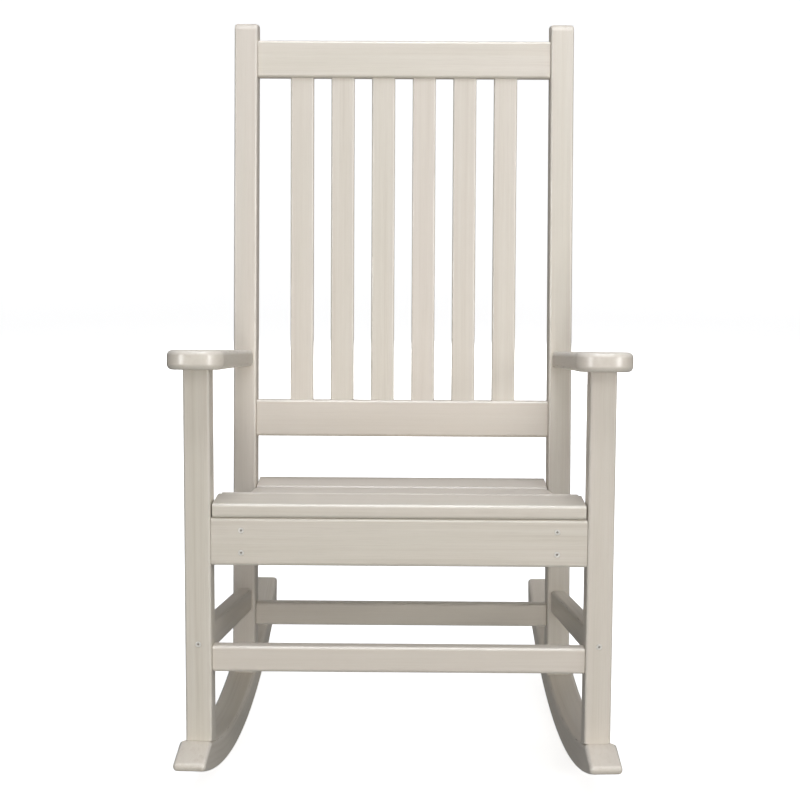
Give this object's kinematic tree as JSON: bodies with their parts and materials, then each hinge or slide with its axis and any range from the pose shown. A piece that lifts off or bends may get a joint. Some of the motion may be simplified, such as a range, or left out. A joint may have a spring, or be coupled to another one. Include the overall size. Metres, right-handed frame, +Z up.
{
  "type": "rocking chair",
  "caption": "High-backed slatted porch rocking chair in square plastic lumber, with paddle arms, a dished seat and curved rockers.",
  "frame": {"origin": "on the floor, under the middle of the chair's bounding box, with the chair standing still at its rest angle", "axes": "+Z up; the sitter faces -Y and the back posts are on the +Y side; +X is to the right of someone looking at the front"},
  "size_m": [0.654, 0.8298, 1.1239],
  "materials": {
    "lumber": "satin",
    "screw": "satin"
  },
  "bodies": {
    "root": {"rocker_left": "lumber", "front_leg_left": "lumber", "back_post_left": "lumber", "side_stretcher_left": "lumber", "arm_left": "lumber", "seat_side_rail_left": "lumber", "rocker_right": "lumber", "front_leg_right": "lumber", "back_post_right": "lumber", "side_stretcher_right": "lumber", "arm_right": "lumber", "seat_side_rail_right": "lumber", "front_apron": "lumber", "front_stretcher": "lumber", "rear_stretcher": "lumber", "rear_seat_rail": "lumber", "seat_slat_front": "lumber", "seat_slat_mid_1": "lumber", "seat_slat_mid_2": "lumber", "seat_slat_mid_3": "lumber", "seat_slat_mid_4": "lumber", "seat_slat_rear": "lumber", "top_rail": "lumber", "lower_back_rail": "lumber", "back_slat_1": "lumber", "back_slat_2": "lumber", "back_slat_3": "lumber", "back_slat_4": "lumber", "back_slat_5": "lumber", "back_slat_6": "lumber", "leg_screw_left": "screw", "post_screw_left": "screw", "arm_rear_screw_left": "screw", "arm_front_screw_left": "screw", "rocker_front_screw_left": "screw", "rocker_rear_screw_left": "screw", "front_stretcher_screw_left": "screw", "apron_end_screw_left": "screw", "rear_stretcher_screw_left": "screw", "rear_seat_rail_screw_left": "screw", "lower_back_rail_screw_left": "screw", "top_rail_screw_left": "screw", "seat_rail_screw_left": "screw", "apron_screw_left_upper": "screw", "apron_screw_left_lower": "screw", "leg_screw_right": "screw", "post_screw_right": "screw", "arm_rear_screw_right": "screw", "arm_front_screw_right": "screw", "rocker_front_screw_right": "screw", "rocker_rear_screw_right": "screw", "front_stretcher_screw_right": "screw", "apron_end_screw_right": "screw", "rear_stretcher_screw_right": "screw", "rear_seat_rail_screw_right": "screw", "lower_back_rail_screw_right": "screw", "top_rail_screw_right": "screw", "seat_rail_screw_right": "screw", "apron_screw_right_upper": "screw", "apron_screw_right_lower": "screw"}
  },
  "joints": []
}
